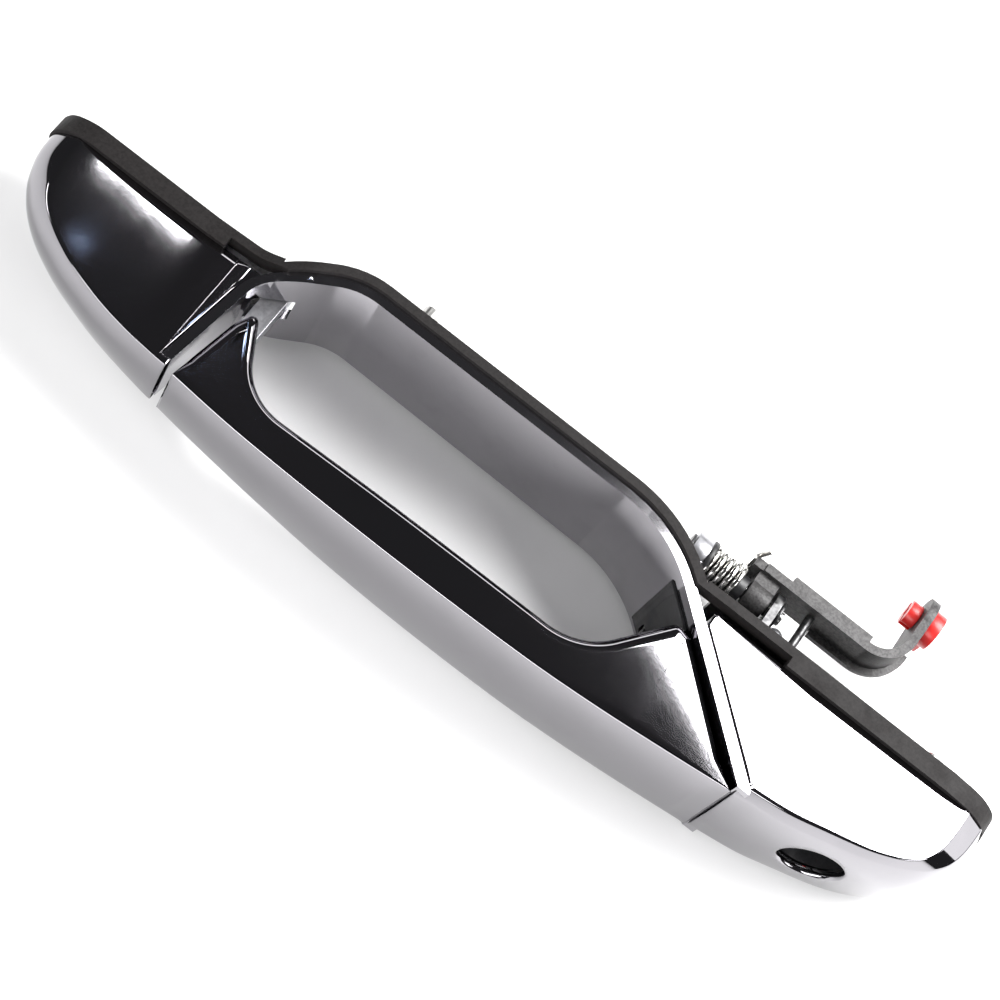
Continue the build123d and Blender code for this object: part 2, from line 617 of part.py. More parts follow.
with BuildPart() as mounting_studs:
    for start, end, size in ((plate_front - 2, plate_front, 9), (plate_front, plate_back, stud_neck),
                             (plate_back, right_stud_end, stud_size)):
        add(rod((right_stud_x, start, right_stud_z), (right_stud_x, end, right_stud_z), size))
    add(rod((mid_stud_x, cup_back + cup_wall, 0), (mid_stud_x, mid_boss_end, 0), stud_neck))
    add(rod((mid_stud_x, mid_boss_end, 0), (mid_stud_x, mid_stud_end, 0), stud_size))
finish(mounting_studs, "mounting_studs")

with BuildPart() as clinch_nut:
    add(rod((left_nut_x, plate_front - nut_long, 0), (left_nut_x, plate_front, 0), nut_size))
    add(rod((left_nut_x, plate_front, 0), (left_nut_x, plate_back, 0), stud_neck))
    add(rod((left_nut_x, -30, 0), (left_nut_x, 30, 0), nut_thread), mode=Mode.SUBTRACT)
finish(clinch_nut, "clinch_nut")

with BuildPart() as cap_screws:
    for x, z, _ in [(left_screw_x, 0, 0), *right_screws]:
        add(rod((x, -11, z), (x, plate_back, z), cap_screw_size))
        add(rod((x, plate_back, z), (x, plate_back + 1.8, z), screw_head))
finish(cap_screws, "cap_screws")

with BuildPart() as support_pillar:
    add(rod((pillar_x, plate_front, pillar_z), (pillar_x, plate_back, pillar_z), pillar_size - 2))
    add(rod((pillar_x, plate_back, pillar_z), (pillar_x, pillar_end - pillar_size / 2, pillar_z), pillar_size))
    with Locations((pillar_x, pillar_end - pillar_size / 2, pillar_z)):
        Sphere(pillar_size / 2)
finish(support_pillar, "support_pillar")

with BuildPart() as stop_screw:
    add(rod((stop_x, -3, pivot_z), (stop_x, arm_front - 0.4, pivot_z), stop_size))
finish(stop_screw, "stop_screw")
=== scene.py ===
"""Studio scene of a chrome exterior door handle, laid out as an add-on."""
import json
import math

import bmesh
import bpy
from bpy.props import FloatProperty, FloatVectorProperty, PointerProperty
from mathutils import Matrix, Vector


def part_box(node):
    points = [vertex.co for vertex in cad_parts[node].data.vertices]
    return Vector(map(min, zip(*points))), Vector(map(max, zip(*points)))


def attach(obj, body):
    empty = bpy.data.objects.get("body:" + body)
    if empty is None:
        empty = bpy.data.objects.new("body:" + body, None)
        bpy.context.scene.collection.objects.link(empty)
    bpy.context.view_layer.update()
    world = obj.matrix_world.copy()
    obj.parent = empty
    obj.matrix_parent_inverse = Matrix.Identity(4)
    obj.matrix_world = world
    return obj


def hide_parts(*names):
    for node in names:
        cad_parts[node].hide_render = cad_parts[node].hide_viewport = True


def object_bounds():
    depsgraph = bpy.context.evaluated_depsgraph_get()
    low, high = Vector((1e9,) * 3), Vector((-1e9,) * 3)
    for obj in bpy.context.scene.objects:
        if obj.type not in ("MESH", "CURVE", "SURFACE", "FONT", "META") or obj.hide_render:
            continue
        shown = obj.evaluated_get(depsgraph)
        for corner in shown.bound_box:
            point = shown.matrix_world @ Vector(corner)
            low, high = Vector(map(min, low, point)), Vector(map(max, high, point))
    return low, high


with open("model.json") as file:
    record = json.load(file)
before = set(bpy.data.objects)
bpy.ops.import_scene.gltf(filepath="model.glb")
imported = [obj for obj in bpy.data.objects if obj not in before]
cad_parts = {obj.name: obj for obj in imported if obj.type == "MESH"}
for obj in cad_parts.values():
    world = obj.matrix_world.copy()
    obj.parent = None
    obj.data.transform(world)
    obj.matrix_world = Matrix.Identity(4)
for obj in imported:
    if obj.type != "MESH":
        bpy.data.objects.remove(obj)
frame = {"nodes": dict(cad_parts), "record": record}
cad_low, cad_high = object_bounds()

bl_info = {
    "name": "Door Handle Studio",
    "version": (1, 0, 0),
    "blender": (4, 5, 0),
    "location": "3D View > Sidebar > Door Handle",
    "description": "Builds a chrome pull handle with its bell crank, gasket and studio",
    "category": "Object",
}

MM = 0.001

# ---- studio, metres and degrees ----
CARD_HEIGHT = 0.55
FLOOR_HALF = 6.0
WORLD_TINT = (0.045, 0.045, 0.048, 1.0)
CAMERA_PLACE = (-0.0170, -0.3206, 0.6415)
CAMERA_ROLL = 37.5
CAMERA_LEVEL = (0.9997, 0.0, 0.0241)       # the handle's length, as the camera sees it across
CAMERA_DROP = (0.0106, -0.8991, -0.4377)   # and down, before the roll

# ---- shape of the bezel and strap, mm ----
CAP_BACK = -5.5
GRIP_LINE = -33.6
HINGE_X, HINGE_Y = -78.0, -21.0
LOCK_X, LOCK_Z, LOCK_BORE = 116.2, 1.0, 17.6
PIVOT_Y, PIVOT_Z = 13.5, 2.0
SPRING_WIRE, SPRING_MEAN = 1.7, 10.2
SPRING_PITCH, SPRING_TURNS = 2.05, 4.5
SPRING_HOOK = [(0.1, PIVOT_Y + SPRING_MEAN / 2 + 1.4, 0.4), (0.3, 23.1, 1.6), (1.4, 24.1, 3.6),
               (2.2, 24.2, 6.0)]           # along X, y, and height over the pivot

STRAP_FRONT = [(-90.0, -41.2), (-84.9, -41.9), (-65.7, -43.8), (-46.0, -45.0), (-26.4, -45.8),
               (-1.9, -46.1), (27.4, -45.6), (47.0, -44.4), (66.7, -42.5), (86.5, -40.2),
               (92.0, -39.4)]
STRAP_HEIGHT = [(-90.0, 10.9), (-84.9, 11.1), (-65.7, 12.1), (-46.0, 13.5), (-26.4, 14.8),
                (-1.9, 15.7), (27.4, 16.2), (47.0, 16.5), (66.7, 16.8), (86.5, 17.0), (92.0, 17.0)]


# ---- settings ----
class HandleFinishSettings(bpy.types.PropertyGroup):
    """Colours and polish of the handle's finishes"""
    chrome_tint: FloatVectorProperty(
        name="Chrome tint", description="Reflected colour of the chrome plating",
        subtype="COLOR", size=3, min=0.0, max=1.0, default=(0.28, 0.273, 0.288))
    chrome_polish: FloatProperty(
        name="Chrome roughness", description="How blurred the chrome's reflections are",
        min=0.0, max=1.0, default=0.045)
    rubber_tint: FloatVectorProperty(
        name="Rubber colour", description="Colour of the gasket",
        subtype="COLOR", size=3, min=0.0, max=1.0, default=(0.0075, 0.0064, 0.0064))
    lever_tint: FloatVectorProperty(
        name="Lever colour", description="Colour of the cast bell crank",
        subtype="COLOR", size=3, min=0.0, max=1.0, default=(0.026, 0.0245, 0.025))
    clip_tint: FloatVectorProperty(
        name="Clip colour", description="Colour of the rod clip",
        subtype="COLOR", size=3, min=0.0, max=1.0, default=(0.44, 0.010, 0.010))


class HandleShapeSettings(bpy.types.PropertyGroup):
    """Roundings of the chrome pieces"""
    front_crown: FloatProperty(
        name="Front crown", description="How far the strap's front face bulges",
        unit="LENGTH", min=0.0, default=0.9 * MM)
    crease_round: FloatProperty(
        name="Crease radius", description="Rounding of the crease along the strap's front",
        unit="LENGTH", min=0.0, default=0.55 * MM)
    cap_round: FloatProperty(
        name="Cap crease radius", description="Rounding of the creases on both end caps",
        unit="LENGTH", min=0.0, default=0.45 * MM)
    finger_round: FloatProperty(
        name="Finger edge radius", description="Rounding of the strap's edge inside the grip",
        unit="LENGTH", min=0.0, default=3.0 * MM)


class HandleStudioSettings(bpy.types.PropertyGroup):
    """Lights, floor and camera"""
    lens: FloatProperty(
        name="Lens", description="Focal length of the camera in millimetres",
        min=10.0, default=100.6)
    floor_tint: FloatVectorProperty(
        name="Floor colour", description="Colour of the studio floor",
        subtype="COLOR", size=3, min=0.0, max=1.0, default=(0.90, 0.90, 0.90))
    light_power: FloatProperty(
        name="Light strength", description="Multiplier for all the studio lights",
        min=0.0, default=1.0)


# ---- shader node groups ----
def new_group(name, inputs, outputs):
    """An empty shader group with its sockets, and the nodes at its two ends."""
    tree = bpy.data.node_groups.new(name, "ShaderNodeTree")
    for label, kind, value in inputs:
        socket = tree.interface.new_socket(label, in_out="INPUT", socket_type=kind)
        socket.default_value = value
    for label, kind in outputs:
        tree.interface.new_socket(label, in_out="OUTPUT", socket_type=kind)
    return tree, tree.nodes.new("NodeGroupInput"), tree.nodes.new("NodeGroupOutput")


def math_node(tree, operation, first, second):
    """A Math node; each operand is a number or a socket."""
    node = tree.nodes.new("ShaderNodeMath")
    node.operation = operation
    for slot, value in zip(node.inputs, (first, second)):
        if isinstance(value, (int, float)):
            slot.default_value = value
        else:
            tree.links.new(value, slot)
    return node.outputs[0]


def noise_node(tree, scale, detail=3.0):
    """Noise in object space; scale is a number or a socket, in features per metre."""
    place = tree.nodes.new("ShaderNodeTexCoord")
    noise = tree.nodes.new("ShaderNodeTexNoise")
    noise.inputs["Detail"].default_value = detail
    tree.links.new(place.outputs["Object"], noise.inputs["Vector"])
    if isinstance(scale, (int, float)):
        noise.inputs["Scale"].default_value = scale
    else:
        tree.links.new(scale, noise.inputs["Scale"])
    return noise.outputs["Fac"]


def polish_haze_group():
    """Handling haze and fine pitting: varies roughness and colour, and gives a bump height."""
    tree, start, end = new_group(
        "Polish haze",
        [("Roughness", "NodeSocketFloat", 0.05), ("Haze", "NodeSocketFloat", 0.05),
         ("Scale", "NodeSocketFloat", 60.0)],
        [("Roughness", "NodeSocketFloat"), ("Mask", "NodeSocketFloat"), ("Height", "NodeSocketFloat")])
    cloud = noise_node(tree, start.outputs["Scale"], 6.0)
    ramp = tree.nodes.new("ShaderNodeMapRange")
    ramp.inputs["From Min"].default_value = 0.52
    ramp.inputs["From Max"].default_value = 0.74
    tree.links.new(cloud, ramp.inputs["Value"])
    haze = math_node(tree, "MULTIPLY", ramp.outputs["Result"], start.outputs["Haze"])
    tree.links.new(math_node(tree, "ADD", start.outputs["Roughness"], haze), end.inputs["Roughness"])
    tree.links.new(ramp.outputs["Result"], end.inputs["Mask"])
    fine = noise_node(tree, math_node(tree, "MULTIPLY", start.outputs["Scale"], 14.0), 2.0)
    tree.links.new(fine, end.inputs["Height"])
    return tree


def edge_wear_group():
    """Mask of the convex edges, broken up by noise."""
    tree, start, end = new_group(
        "Edge wear",
        [("Amount", "NodeSocketFloat", 0.5), ("Scale", "NodeSocketFloat", 900.0)],
        [("Mask", "NodeSocketFloat")])
    shape = tree.nodes.new("ShaderNodeNewGeometry")
    edge = tree.nodes.new("ShaderNodeMapRange")
    edge.inputs["From Min"].default_value = 0.505
    edge.inputs["From Max"].default_value = 0.56
    tree.links.new(shape.outputs["Pointiness"], edge.inputs["Value"])
    broken = tree.nodes.new("ShaderNodeMapRange")
    broken.inputs["From Min"].default_value = 0.35
    broken.inputs["From Max"].default_value = 0.62
    tree.links.new(noise_node(tree, start.outputs["Scale"], 4.0), broken.inputs["Value"])
    mask = math_node(tree, "MULTIPLY", edge.outputs["Result"], broken.outputs["Result"])
    tree.links.new(math_node(tree, "MULTIPLY", mask, start.outputs["Amount"]), end.inputs["Mask"])
    return tree


def cast_grain_group():
    """Fine grain of castings, rubber and mouldings: a bump height and a speckle mask."""
    tree, start, end = new_group(
        "Cast grain",
        [("Scale", "NodeSocketFloat", 2500.0), ("Speckle", "NodeSocketFloat", 0.5)],
        [("Height", "NodeSocketFloat"), ("Mask", "NodeSocketFloat")])
    grain = noise_node(tree, start.outputs["Scale"], 5.0)
    tree.links.new(grain, end.inputs["Height"])
    ramp = tree.nodes.new("ShaderNodeMapRange")
    ramp.inputs["From Min"].default_value = 0.42
    ramp.inputs["From Max"].default_value = 0.66
    tree.links.new(noise_node(tree, math_node(tree, "MULTIPLY", start.outputs["Scale"], 0.6), 3.0),
                   ramp.inputs["Value"])
    tree.links.new(math_node(tree, "MULTIPLY", ramp.outputs["Result"], start.outputs["Speckle"]),
                   end.inputs["Mask"])
    return tree


SHARED = {}


def shared(name):
    """A shared effect's group, built once."""
    makers = {"Polish haze": polish_haze_group, "Edge wear": edge_wear_group,
              "Cast grain": cast_grain_group}
    if name not in SHARED:
        SHARED[name] = makers[name]()
    return SHARED[name]


def place_group(tree, name, **values):
    """A shared effect placed in a material, with this material's own values."""
    node = tree.nodes.new("ShaderNodeGroup")
    node.node_tree = shared(name)
    for key, value in values.items():
        node.inputs[key].default_value = value
    return node


def mix_colour(tree, mask, low, high):
    """A colour between two others; each is a tuple or a socket."""
    mix = tree.nodes.new("ShaderNodeMix")
    mix.data_type = "RGBA"
    tree.links.new(mask, mix.inputs["Factor"])
    for slot, value in ((mix.inputs[6], low), (mix.inputs[7], high)):
        if isinstance(value, tuple):
            slot.default_value = (*value, 1.0)
        else:
            tree.links.new(value, slot)
    return mix.outputs[2]


def new_material(name, metallic):
    """A Principled material and its parts."""
    material = bpy.data.materials.new(name)
    material.use_nodes = True
    tree = material.node_tree
    shader = tree.nodes["Principled BSDF"]
    shader.inputs["Metallic"].default_value = metallic
    return material, tree, shader


def add_bump(tree, shader, height, distance, strength=1.0):
    bump = tree.nodes.new("ShaderNodeBump")
    bump.inputs["Distance"].default_value = distance
    bump.inputs["Strength"].default_value = strength
    tree.links.new(height, bump.inputs["Height"])
    tree.links.new(bump.outputs["Normal"], shader.inputs["Normal"])


def polished_metal(name, tint, roughness, haze, scale, pits=0.000002, dull=0.92):
    """Plated or polished metal with handling haze and fine pits."""
    material, tree, shader = new_material(name, 1.0)
    group = place_group(tree, "Polish haze", Roughness=roughness, Haze=haze, Scale=scale)
    dark = tuple(dull * c for c in tint)
    tree.links.new(mix_colour(tree, group.outputs["Mask"], tuple(tint), dark), shader.inputs["Base Color"])
    tree.links.new(group.outputs["Roughness"], shader.inputs["Roughness"])
    add_bump(tree, shader, group.outputs["Height"], pits)
    return material


def grained(name, tint, worn, metallic, roughness, scale, depth, speckle=0.5, wear=0.6, shine=0.5):
    """Cast metal, rubber or moulded plastic: speckled, grained and paler along its edges."""
    material, tree, shader = new_material(name, metallic)
    shader.inputs["Specular IOR Level"].default_value = shine
    grain = place_group(tree, "Cast grain", Scale=scale, Speckle=speckle)
    edges = place_group(tree, "Edge wear", Amount=wear, Scale=scale * 0.4)
    pale = tuple(0.5 * (a + b) for a, b in zip(tint, worn))
    body = mix_colour(tree, grain.outputs["Mask"], tuple(tint), pale)
    tree.links.new(mix_colour(tree, edges.outputs["Mask"], body, tuple(worn)), shader.inputs["Base Color"])
    haze = place_group(tree, "Polish haze", Roughness=roughness, Haze=0.12, Scale=scale * 0.05)
    tree.links.new(haze.outputs["Roughness"], shader.inputs["Roughness"])
    add_bump(tree, shader, grain.outputs["Height"], depth)
    return material


CUP_WALL_PAINTED_LIGHT_GAIN = 1.45       # painted light: the cup wall's chrome is tinted paler than the polished caps, a painted brighter reflection
FINISHES = {}


def build_finishes(settings):
    """Every finish of the handle, by the record's slot names."""
    chrome = tuple(settings.chrome_tint)
    polish = settings.chrome_polish
    FINISHES.update({
        # painted light: the cup wall's chrome tint is raised to paint in a brighter reflection
        "chrome_casting": polished_metal("chrome_casting", tuple(CUP_WALL_PAINTED_LIGHT_GAIN * c for c in chrome),
                                         polish + 0.05, 0.06, 90.0),
        "chrome_cap": polished_metal("chrome_cap", chrome, polish, 0.015, 55.0),
        "chrome_strap": polished_metal("chrome_strap", chrome, polish, 0.015, 50.0),
        "gasket_rubber": grained("gasket_rubber", tuple(settings.rubber_tint), (0.032, 0.028, 0.028), 0.0,
                                 0.62, 3000.0, 0.00003, speckle=0.3, wear=0.25, shine=0.22),
        "black_plastic": grained("black_plastic", (0.008, 0.008, 0.009), (0.03, 0.03, 0.032), 0.0,
                                 0.38, 2600.0, 0.00002),
        "red_plastic": grained("red_plastic", tuple(settings.clip_tint), (0.60, 0.05, 0.04), 0.0,
                               0.34, 900.0, 0.00002, speckle=0.25, wear=0.3),
        "grey_casting": grained("grey_casting", tuple(settings.lever_tint), (0.10, 0.097, 0.097), 0.2,
                                0.50, 3600.0, 0.00004, speckle=0.35, shine=0.4),
        "zinc_casting": grained("zinc_casting", (0.36, 0.36, 0.38), (0.62, 0.62, 0.64), 0.9,
                                0.34, 1500.0, 0.00003),
        "zinc_steel": grained("zinc_steel", (0.46, 0.455, 0.44), (0.66, 0.66, 0.65), 1.0,
                              0.28, 700.0, 0.00001, speckle=0.8),
        "bright_steel": polished_metal("bright_steel", (0.66, 0.66, 0.65), 0.16, 0.15, 300.0),
        "dark_steel": grained("dark_steel", (0.035, 0.034, 0.036), (0.22, 0.22, 0.22), 0.9,
                              0.34, 1500.0, 0.00001),
        "spring_steel": polished_metal("spring_steel", (0.62, 0.61, 0.585), 0.17, 0.15, 500.0),
    })


SLOT_OF = {row["node"]: row["material_slot"] for row in frame["record"]["subparts"]}


# ---- mesh helpers ----
def smooth_through(points, x):
    """Height of a smooth curve through the points at x (Catmull-Rom, held flat outside)."""
    if x <= points[0][0]:
        return points[0][1]
    if x >= points[-1][0]:
        return points[-1][1]
    for i in range(len(points) - 1):
        if x <= points[i + 1][0]:
            break
    x0, y0 = points[i]
    x1, y1 = points[i + 1]

    def slope(k):
        a, b = points[max(k - 1, 0)], points[min(k + 1, len(points) - 1)]
        return (b[1] - a[1]) / (b[0] - a[0])
    t = (x - x0) / (x1 - x0)
    width = x1 - x0
    return ((2 * t ** 3 - 3 * t ** 2 + 1) * y0 + (t ** 3 - 2 * t ** 2 + t) * width * slope(i)
            + (3 * t ** 2 - 2 * t ** 3) * y1 + (t ** 3 - t ** 2) * width * slope(i + 1))


def mesh_piece(name, points, faces, body, slot, sharp=35.0):
    """A new mesh piece, points in mm, that rides on a body and wears a finish."""
    mesh = bpy.data.meshes.new(name)
    mesh.from_pydata([(x * MM, y * MM, z * MM) for x, y, z in points], [], faces)
    work = bmesh.new()
    work.from_mesh(mesh)
    bmesh.ops.remove_doubles(work, verts=work.verts, dist=0.002 * MM)
    bmesh.ops.recalc_face_normals(work, faces=work.faces)
    work.to_mesh(mesh)
    work.free()
    for face in mesh.polygons:
        face.use_smooth = True
    mesh.set_sharp_from_angle(angle=math.radians(sharp))
    piece = bpy.data.objects.new(name, mesh)
    bpy.context.scene.collection.objects.link(piece)
    mesh.materials.append(FINISHES[slot])
    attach(piece, body)
    return piece


def carry(node, slot, rolled=0.0):
    """A CAD node that stays: it gets its finish, and its edges are rolled by a modifier."""
    obj = frame["nodes"][node]
    obj.data.materials.clear()
    obj.data.materials.append(FINISHES[slot])
    if rolled:
        weld = obj.modifiers.new("Weld", "WELD")
        weld.merge_threshold = 0.001 * MM
        bevel = obj.modifiers.new("Rolled edges", "BEVEL")
        bevel.width = rolled * MM
        bevel.segments = 3
        bevel.limit_method = "ANGLE"
        bevel.angle_limit = math.radians(38)
        bevel.harden_normals = True
    return obj


class HandleOperator:
    """What the operators share."""
    bl_options = {"REGISTER", "UNDO"}

    def need(self, *nodes):
        missing = [n for n in nodes if n not in frame["nodes"]]
        if missing:
            raise RuntimeError(f"the frame has no node {missing}")


class HANDLE_OT_finishes(HandleOperator, bpy.types.Operator):
    """Build the materials of every finish"""
    bl_idname = "door_handle.finishes"
    bl_label = "Finishes"

    def execute(self, context):
        build_finishes(context.scene.handle_finish)
        return {"FINISHED"}


# how far each carried-over piece's edges are rolled, mm
ROLLED = {
    "cup_wall": 1.3, "lock_collar": 0.3, "lock_clip": 0.15, "gasket": 0.4, "strap_liner": 0.3,
    "liner_screws": 0.15, "hook_leg": 0.25, "hook_screw": 0.15, "hinge_pin": 0.3,
    "hinge_bracket": 0.25, "lever_bracket": 0.3, "pivot_ear": 0.4, "ear_screw": 0.2,
    "pivot_pin": 0.2, "pivot_clips": 0.1, "spring_spool": 0.2, "bell_crank": 0.35,
    "lever_bush": 0.1, "rod_clip": 0.25, "hook_guide": 0.2, "mounting_studs": 0.2,
    "clinch_nut": 0.2, "cap_screws": 0.2, "support_pillar": 0.0, "stop_screw": 0.2,
}


class HANDLE_OT_fittings(HandleOperator, bpy.types.Operator):
    """Give every carried-over piece its finish and rolled edges"""
    bl_idname = "door_handle.fittings"
    bl_label = "Brackets and fittings"

    def execute(self, context):
        for node, rolled in ROLLED.items():
            self.need(node)
            carry(node, SLOT_OF[node], rolled)
        return {"FINISHED"}


# ---- chrome pieces ----
def rounded_path(corners, step=0.6):
    """Points along a plan outline given as (x, y, corner radius), each with its direction."""
    points = []
    last = len(corners) - 1
    for i, (x, y, radius) in enumerate(corners):
        here = Vector((x, y))
        if i in (0, last) or radius <= 0:
            points.append(here)
            continue
        before = (Vector(corners[i - 1][:2]) - here).normalized()
        after = (Vector(corners[i + 1][:2]) - here).normalized()
        half = before.angle(after) / 2
        reach = radius / math.tan(half)
        centre = here + (before + after).normalized() * (radius / math.sin(half))
        first, final = here + before * reach - centre, here + after * reach - centre
        sweep = first.angle_signed(final)
        count = max(4, int(abs(sweep) * radius / step) + 2)
        for k in range(count + 1):
            points.append(centre + Matrix.Rotation(-sweep * k / count, 2) @ first)
    dense = [points[0]]
    for a, b in zip(points, points[1:]):
        count = max(1, round((b - a).length / step))
        dense += [a.lerp(b, k / count) for k in range(1, count + 1)]
    kept = [dense[0]]
    for point in dense[1:]:
        if (point - kept[-1]).length > 0.02:
            kept.append(point)
    return kept


def path_normals(path):
    """Unit normals of a plan path, turned 90 degrees clockwise from its direction."""
    normals = []
    for i in range(len(path)):
        along = (path[min(i + 1, len(path) - 1)] - path[max(i - 1, 0)]).normalized()
        normals.append(Vector((along.y, -along.x)))
    return normals


def resample(path, count):
    """The same path with a given number of evenly spaced points."""
    lengths = [0.0]
    for a, b in zip(path, path[1:]):
        lengths.append(lengths[-1] + (b - a).length)
    out, k = [], 0
    for i in range(count):
        want = lengths[-1] * i / (count - 1)
        while k < len(lengths) - 2 and lengths[k + 1] < want:
            k += 1
        span = max(lengths[k + 1] - lengths[k], 1e-9)
        out.append(path[k].lerp(path[k + 1], min(1.0, (want - lengths[k]) / span)))
    return out


def ring_faces(rings, closed, skip=None):
    """Quads between neighbouring rings of points; skip(i, j) leaves one out."""
    width = len(rings[0])
    faces = []
    for i in range(len(rings) - 1):
        for j in range(width if closed else width - 1):
            if skip and skip(i, j):
                continue
            k = (j + 1) % width
            faces.append((i * width + j, i * width + k, (i + 1) * width + k, (i + 1) * width + j))
    return faces


def mirrored_ring(half):
    """A ring from a half ring that runs from z = 0 at the front over the top to z = 0 at the back."""
    return half + [(x, y, -z) for x, y, z in reversed(half[1:-1])]


def hollow_out(piece, wall, lip_from):
    """Give a chrome skin its wall thickness, inwards; beyond lip_from, in mm, it stays thin."""
    group = piece.vertex_groups.new(name="Full wall")
    side = 1 if lip_from > 0 else -1
    full = [v.index for v in piece.data.vertices
            if (v.co.x / MM - lip_from) * side > 0]
    group.add(full, 1.0, "REPLACE")
    solid = piece.modifiers.new("Wall", "SOLIDIFY")
    solid.thickness = wall * MM
    solid.offset = -1.0
    solid.vertex_group = "Full wall"
    solid.thickness_vertex_group = 0.08
    return piece


STRAP_BACK = [(-84.7, -41.85, 0), (-83.9, -34.0, 12), (-81.5, -19.5, 9), (-78.3, -12.3, 1.7),
              (-66.6, GRIP_LINE, 17), (35.8, GRIP_LINE, 20), (52.4, -11.3, 3.0),
              (57.3, -12.7, 1.2), (86.8, -40.55, 0), (86.8, -40.6, 0)]
HINGE_SLOT = 5.5
LINER = (-62.0, 30.0, 9.5)


class HANDLE_OT_strap(HandleOperator, bpy.types.Operator):
    """Skin of the pull strap, with its crowned front, crease and rolled finger edge"""
    bl_idname = "door_handle.strap"
    bl_label = "Pull strap"

    def execute(self, context):
        self.need("strap_shell")
        shape = context.scene.handle_shape
        crown = shape.front_crown / MM
        crease, finger = shape.crease_round / MM, shape.finger_round / MM
        back = rounded_path(STRAP_BACK, 0.7)
        normals = path_normals(back)
        rows = []
        for b, normal in zip(back, normals):
            front_y = smooth_through(STRAP_FRONT, b.x)
            top = smooth_through(STRAP_HEIGHT, b.x)
            deep = max(b.y - front_y, 0.02)
            r_c, r_f = min(crease, 0.35 * deep), min(finger, 0.45 * deep)
            half = []
            for k in range(9):
                t = k / 8
                half.append((b.x, front_y - crown * (1 - t ** 2) * min(1, deep / 6), t * (top - r_c)))
            for k in range(1, 5):
                a = math.radians(22.5 * k)
                half.append((b.x, front_y + r_c * (1 - math.cos(a)), top - r_c * (1 - math.sin(a))))
            inner = b + normal * r_f
            start = Vector((b.x, front_y + r_c))
            for k in range(1, 11):
                p = start.lerp(inner, k / 10)
                half.append((p.x, p.y, smooth_through(STRAP_HEIGHT, p.x)))
            for k in range(1, 9):
                a = math.radians(11.25 * k)
                p = inner.lerp(b, math.sin(a))
                half.append((p.x, p.y, top - r_f * (1 - math.cos(a))))
            low = top - r_f
            for z in (min(low, 9.5) if low > 9.6 else low * 0.8, min(HINGE_SLOT, low * 0.6), 2.5, 0.0):
                half.append((b.x, b.y, z))
            rows.append(mirrored_ring(half))
        middle = len(half) - 1

        def opening(i, j):
            x, y = back[i]
            if LINER[0] <= x and back[i + 1].x <= LINER[1]:
                return middle - 3 <= j < middle + 3
            if x < HINGE_X + 6.5 and y > HINGE_Y - 6:
                return middle - 2 <= j < middle + 2
            return False
        faces = ring_faces(rows, True, opening)
        piece = mesh_piece("strap_skin", [p for row in rows for p in row], faces, "strap",
                           "chrome_strap", 50.0)
        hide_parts("strap_shell")
        return {"FINISHED"}


LEFT_HEIGHT = [(-149.0, 9.0), (-139.0, 9.3), (-120.0, 9.4), (-110.0, 9.7), (-100.4, 10.2),
               (-94.0, 10.8), (-87.0, 11.5)]
LEFT_CREASE = [(-87.35, -41.2), (-90.4, -41.0), (-100.4, -39.7), (-110.4, -37.7), (-120.5, -34.6),
               (-125.6, -32.5), (-130.8, -29.6), (-135.6, -25.9), (-138.8, -21.5), (-140.2, -16.5),
               (-140.9, -11.0), (-141.2, CAP_BACK)]
LEFT_EQUATOR = [(-87.35, -42.0), (-90.5, -41.9), (-101.0, -40.9), (-111.5, -39.1), (-122.0, -36.2),
                (-128.5, -33.6), (-135.0, -30.2), (-140.5, -25.8), (-144.6, -20.6), (-147.2, -15.0),
                (-148.3, -10.5), (-148.6, CAP_BACK)]
RIGHT_UPPER = [(87.55, -37.9), (90.1, -37.7), (101.0, -36.4), (111.0, -34.0), (121.3, -31.3),
               (127.4, -29.0), (132.4, -26.4), (135.8, -23.2), (137.9, -19.0), (138.8, -14.5),
               (139.1, -10.0), (139.2, CAP_BACK)]
RIGHT_LOWER = [(87.55, -39.8), (89.6, -39.6), (101.6, -37.8), (111.6, -35.2), (121.8, -32.3),
               (128.8, -29.7), (134.6, -26.7), (139.4, -23.3), (142.6, -19.2), (144.2, -14.5),
               (144.8, -10.0), (145.0, CAP_BACK)]
RIGHT_EQUATOR = [(87.55, -40.5), (90.2, -40.3), (102.0, -38.8), (112.0, -36.6), (122.4, -33.8),
                 (130.4, -31.0), (137.4, -27.6), (142.6, -23.2), (146.2, -18.6), (147.9, -13.5),
                 (148.5, -9.5), (148.6, CAP_BACK)]
LEFT_SIDE = [(-90.35, -39.2), (-87.0, -13.2), (-85.6, -9.0), (-83.2, CAP_BACK)]
RIGHT_SIDE = [(89.6, -37.6), (58.0, -9.7), (58.0, CAP_BACK)]


def station_path(stations, count):
    """A smooth, evenly spaced plan path through the stations."""
    dense = []
    for i in range(len(stations) - 1):
        before, after = stations[max(i - 1, 0)], stations[min(i + 2, len(stations) - 1)]
        a, b = Vector(stations[i]), Vector(stations[i + 1])
        leave = (b - Vector(before)) * 0.5
        arrive = (Vector(after) - a) * 0.5
        for k in range(12):
            t = k / 12
            dense.append((2 * t ** 3 - 3 * t ** 2 + 1) * a + (t ** 3 - 2 * t ** 2 + t) * leave
                         + (3 * t ** 2 - 2 * t ** 3) * b + (t ** 3 - t ** 2) * arrive)
    dense.append(Vector(stations[-1]))
    return resample(dense, count)


def soften(section, creases, radius):
    """Round a section's creases: each is replaced by a short curve that starts a radius away."""
    out = []
    for k, point in enumerate(section):
        if k not in creases:
            out.append(point)
            continue
        here = Vector(point)
        before, after = Vector(section[k - 1]), Vector(section[k + 1])
        start = here + (before - here).normalized() * min(radius, 0.4 * (before - here).length)
        final = here + (after - here).normalized() * min(radius, 0.4 * (after - here).length)
        for step in range(5):
            t = step / 4
            out.append(tuple((1 - t) ** 2 * start + 2 * t * (1 - t) * here + t ** 2 * final))
    return out


